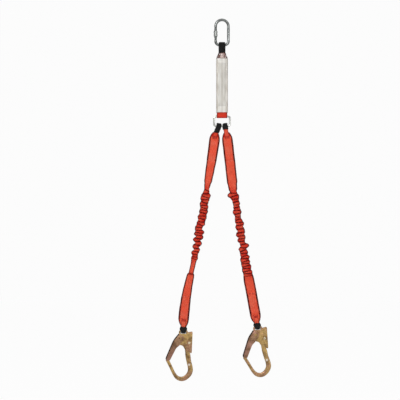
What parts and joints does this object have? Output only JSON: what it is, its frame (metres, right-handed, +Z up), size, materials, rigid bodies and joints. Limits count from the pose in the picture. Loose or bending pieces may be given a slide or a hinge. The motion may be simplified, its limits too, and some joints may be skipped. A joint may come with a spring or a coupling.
{
  "type": "twin shock-absorbing lanyard",
  "caption": "Fall-arrest lanyard with a screw-lock karabiner, a tear-webbing energy absorber, a link and elasticated webbing legs that end in scaffold hooks.",
  "frame": {"origin": "bearing point inside the crown of the karabiner, from which the lanyard hangs", "axes": "+Z up along the hanging lanyard, +X across the legs to the side of the right leg, +Y through the thickness of the webbing"},
  "size_m": [0.422, 0.0238, 1.4501],
  "materials": {
    "zinc_steel": "bright zinc-plated steel",
    "gold_zinc": "yellow-passivated zinc on forged and pressed steel",
    "brown_zinc": "darker yellow-passivated zinc on pressed steel",
    "spring_steel": "spring steel wire",
    "red_webbing": "orange-red woven tubular webbing",
    "black_webbing": "black woven wear sleeve",
    "elastic": "covered elastic webbing",
    "clear_film": "clear heat-shrink film",
    "label_stock": "pale label stock"
  },
  "bodies": {
    "karabiner": {"karabiner_body": "zinc_steel", "karabiner_gate_rivet": "zinc_steel"},
    "karabiner_gate": {"karabiner_gate": "zinc_steel", "karabiner_latch_pin": "zinc_steel", "karabiner_gate_plunger": "spring_steel", "karabiner_gate_spring": "spring_steel"},
    "karabiner_sleeve": {"karabiner_screw_sleeve": "zinc_steel"},
    "absorber": {"absorber_top_loop": "red_webbing", "top_loop_wear_sleeve": "black_webbing", "absorber_tear_webbing": "red_webbing", "absorber_shrink_cover": "clear_film", "identification_label": "label_stock", "absorber_bottom_loop": "red_webbing"},
    "ring": {"connector_ring": "zinc_steel"},
    "left_ring_loop": {"left_ring_loop_wear_sleeve": "black_webbing", "left_ring_loop_webbing": "red_webbing"},
    "left_upper_leg": {"left_upper_strap": "red_webbing", "left_elastic_core": "elastic", "left_gathered_sleeve": "red_webbing"},
    "left_lower_leg": {"left_lower_strap": "red_webbing", "left_hook_loop_webbing": "red_webbing", "left_hook_loop_wear_sleeve": "black_webbing"},
    "left_hook": {"left_hook_body": "gold_zinc", "left_hook_gate_rivet": "gold_zinc", "left_hook_lever_rivet": "gold_zinc", "left_hook_gate_spring": "spring_steel", "left_hook_lever_spring": "spring_steel"},
    "left_hook_gate": {"left_hook_gate": "brown_zinc"},
    "left_hook_lever": {"left_hook_lever": "gold_zinc"},
    "right_ring_loop": {"right_ring_loop_wear_sleeve": "black_webbing", "right_ring_loop_webbing": "red_webbing"},
    "right_upper_leg": {"right_upper_strap": "red_webbing", "right_elastic_core": "elastic", "right_gathered_sleeve": "red_webbing"},
    "right_lower_leg": {"right_lower_strap": "red_webbing", "right_hook_loop_webbing": "red_webbing", "right_hook_loop_wear_sleeve": "black_webbing"},
    "right_hook": {"right_hook_body": "gold_zinc", "right_hook_gate_rivet": "gold_zinc", "right_hook_lever_rivet": "gold_zinc", "right_hook_gate_spring": "spring_steel", "right_hook_lever_spring": "spring_steel"},
    "right_hook_gate": {"right_hook_gate": "brown_zinc"},
    "right_hook_lever": {"right_hook_lever": "gold_zinc"}
  },
  "joints": [
    {"name": "karabiner_gate_hinge", "type": "hinge", "parent": "karabiner", "child": "karabiner_gate", "pos_m": [-0.0255, 0, -0.072], "axis": [0, 1, 0], "range_deg": [0, 28], "stiffness_Nm_per_rad": 0.4, "springref_deg": -20.05},
    {"name": "screw_sleeve_slide", "type": "slide", "parent": "karabiner_gate", "child": "karabiner_sleeve", "axis": [0, 0, -1], "range_m": [-0.019, 0]},
    {"name": "absorber_swing", "type": "hinge", "parent": "karabiner", "child": "absorber", "pos_m": [0, 0, -0.0955], "axis": [1, 0, 0], "range_deg": [-70, 70]},
    {"name": "ring_swing", "type": "hinge", "parent": "absorber", "child": "ring", "pos_m": [0, 0, -0.3805], "axis": [1, 0, 0], "range_deg": [-60, 60]},
    {"name": "left_ring_loop_hinge", "type": "hinge", "parent": "ring", "child": "left_ring_loop", "pos_m": [0, 0, -0.419], "axis": [1, 0, 0], "range_deg": [-60, 60]},
    {"name": "left_leg_spread", "type": "hinge", "parent": "left_ring_loop", "child": "left_upper_leg", "pos_m": [-0.0275, 0, -0.457], "axis": [0, 1, 0], "range_deg": [-4, 45], "stiffness_Nm_per_rad": 3, "springref_deg": 18.17},
    {"name": "left_leg_stretch", "type": "slide", "parent": "left_upper_leg", "child": "left_lower_leg", "axis": [-0.1603, 0, -0.9871], "range_m": [0, 0.3], "stiffness_N_per_m": 250, "springref_m": -0.05, "deforming": ["left_gathered_sleeve", "left_elastic_core"]},
    {"name": "left_hook_swing", "type": "hinge", "parent": "left_lower_leg", "child": "left_hook", "pos_m": [-0.1544, 0, -1.2384], "axis": [1, 0, 0], "range_deg": [-60, 60]},
    {"name": "left_hook_gate_hinge", "type": "hinge", "parent": "left_hook", "child": "left_hook_gate", "pos_m": [-0.1654, 0, -1.2684], "axis": [0, -1, 0], "range_deg": [0, 30], "stiffness_Nm_per_rad": 0.5, "springref_deg": -22.92},
    {"name": "left_hook_lever_hinge", "type": "hinge", "parent": "left_hook", "child": "left_hook_lever", "pos_m": [-0.1309, 0, -1.2854], "axis": [0, 1, 0], "range_deg": [0, 6], "stiffness_Nm_per_rad": 0.6, "springref_deg": -17.19},
    {"name": "right_ring_loop_hinge", "type": "hinge", "parent": "ring", "child": "right_ring_loop", "pos_m": [0, 0, -0.419], "axis": [1, 0, 0], "range_deg": [-60, 60]},
    {"name": "right_leg_spread", "type": "hinge", "parent": "right_ring_loop", "child": "right_upper_leg", "pos_m": [0.0195, 0, -0.457], "axis": [0, -1, 0], "range_deg": [-4, 45], "stiffness_Nm_per_rad": 3, "springref_deg": 18.64},
    {"name": "right_leg_stretch", "type": "slide", "parent": "right_upper_leg", "child": "right_lower_leg", "axis": [0.158, 0, -0.9874], "range_m": [0, 0.3], "stiffness_N_per_m": 250, "springref_m": -0.05, "deforming": ["right_gathered_sleeve", "right_elastic_core"]},
    {"name": "right_hook_swing", "type": "hinge", "parent": "right_lower_leg", "child": "right_hook", "pos_m": [0.142, 0, -1.2228], "axis": [0.9945, 0, 0.1045], "range_deg": [-60, 60]},
    {"name": "right_hook_gate_hinge", "type": "hinge", "parent": "right_hook", "child": "right_hook_gate", "pos_m": [0.1342, 0, -1.25378], "axis": [0, -1, 0], "range_deg": [0, 30], "stiffness_Nm_per_rad": 0.5, "springref_deg": -22.92},
    {"name": "right_hook_lever_hinge", "type": "hinge", "parent": "right_hook", "child": "right_hook_lever", "pos_m": [0.17028, 0, -1.26709], "axis": [0, 1, 0], "range_deg": [0, 6], "stiffness_Nm_per_rad": 0.6, "springref_deg": -17.19}
  ]
}
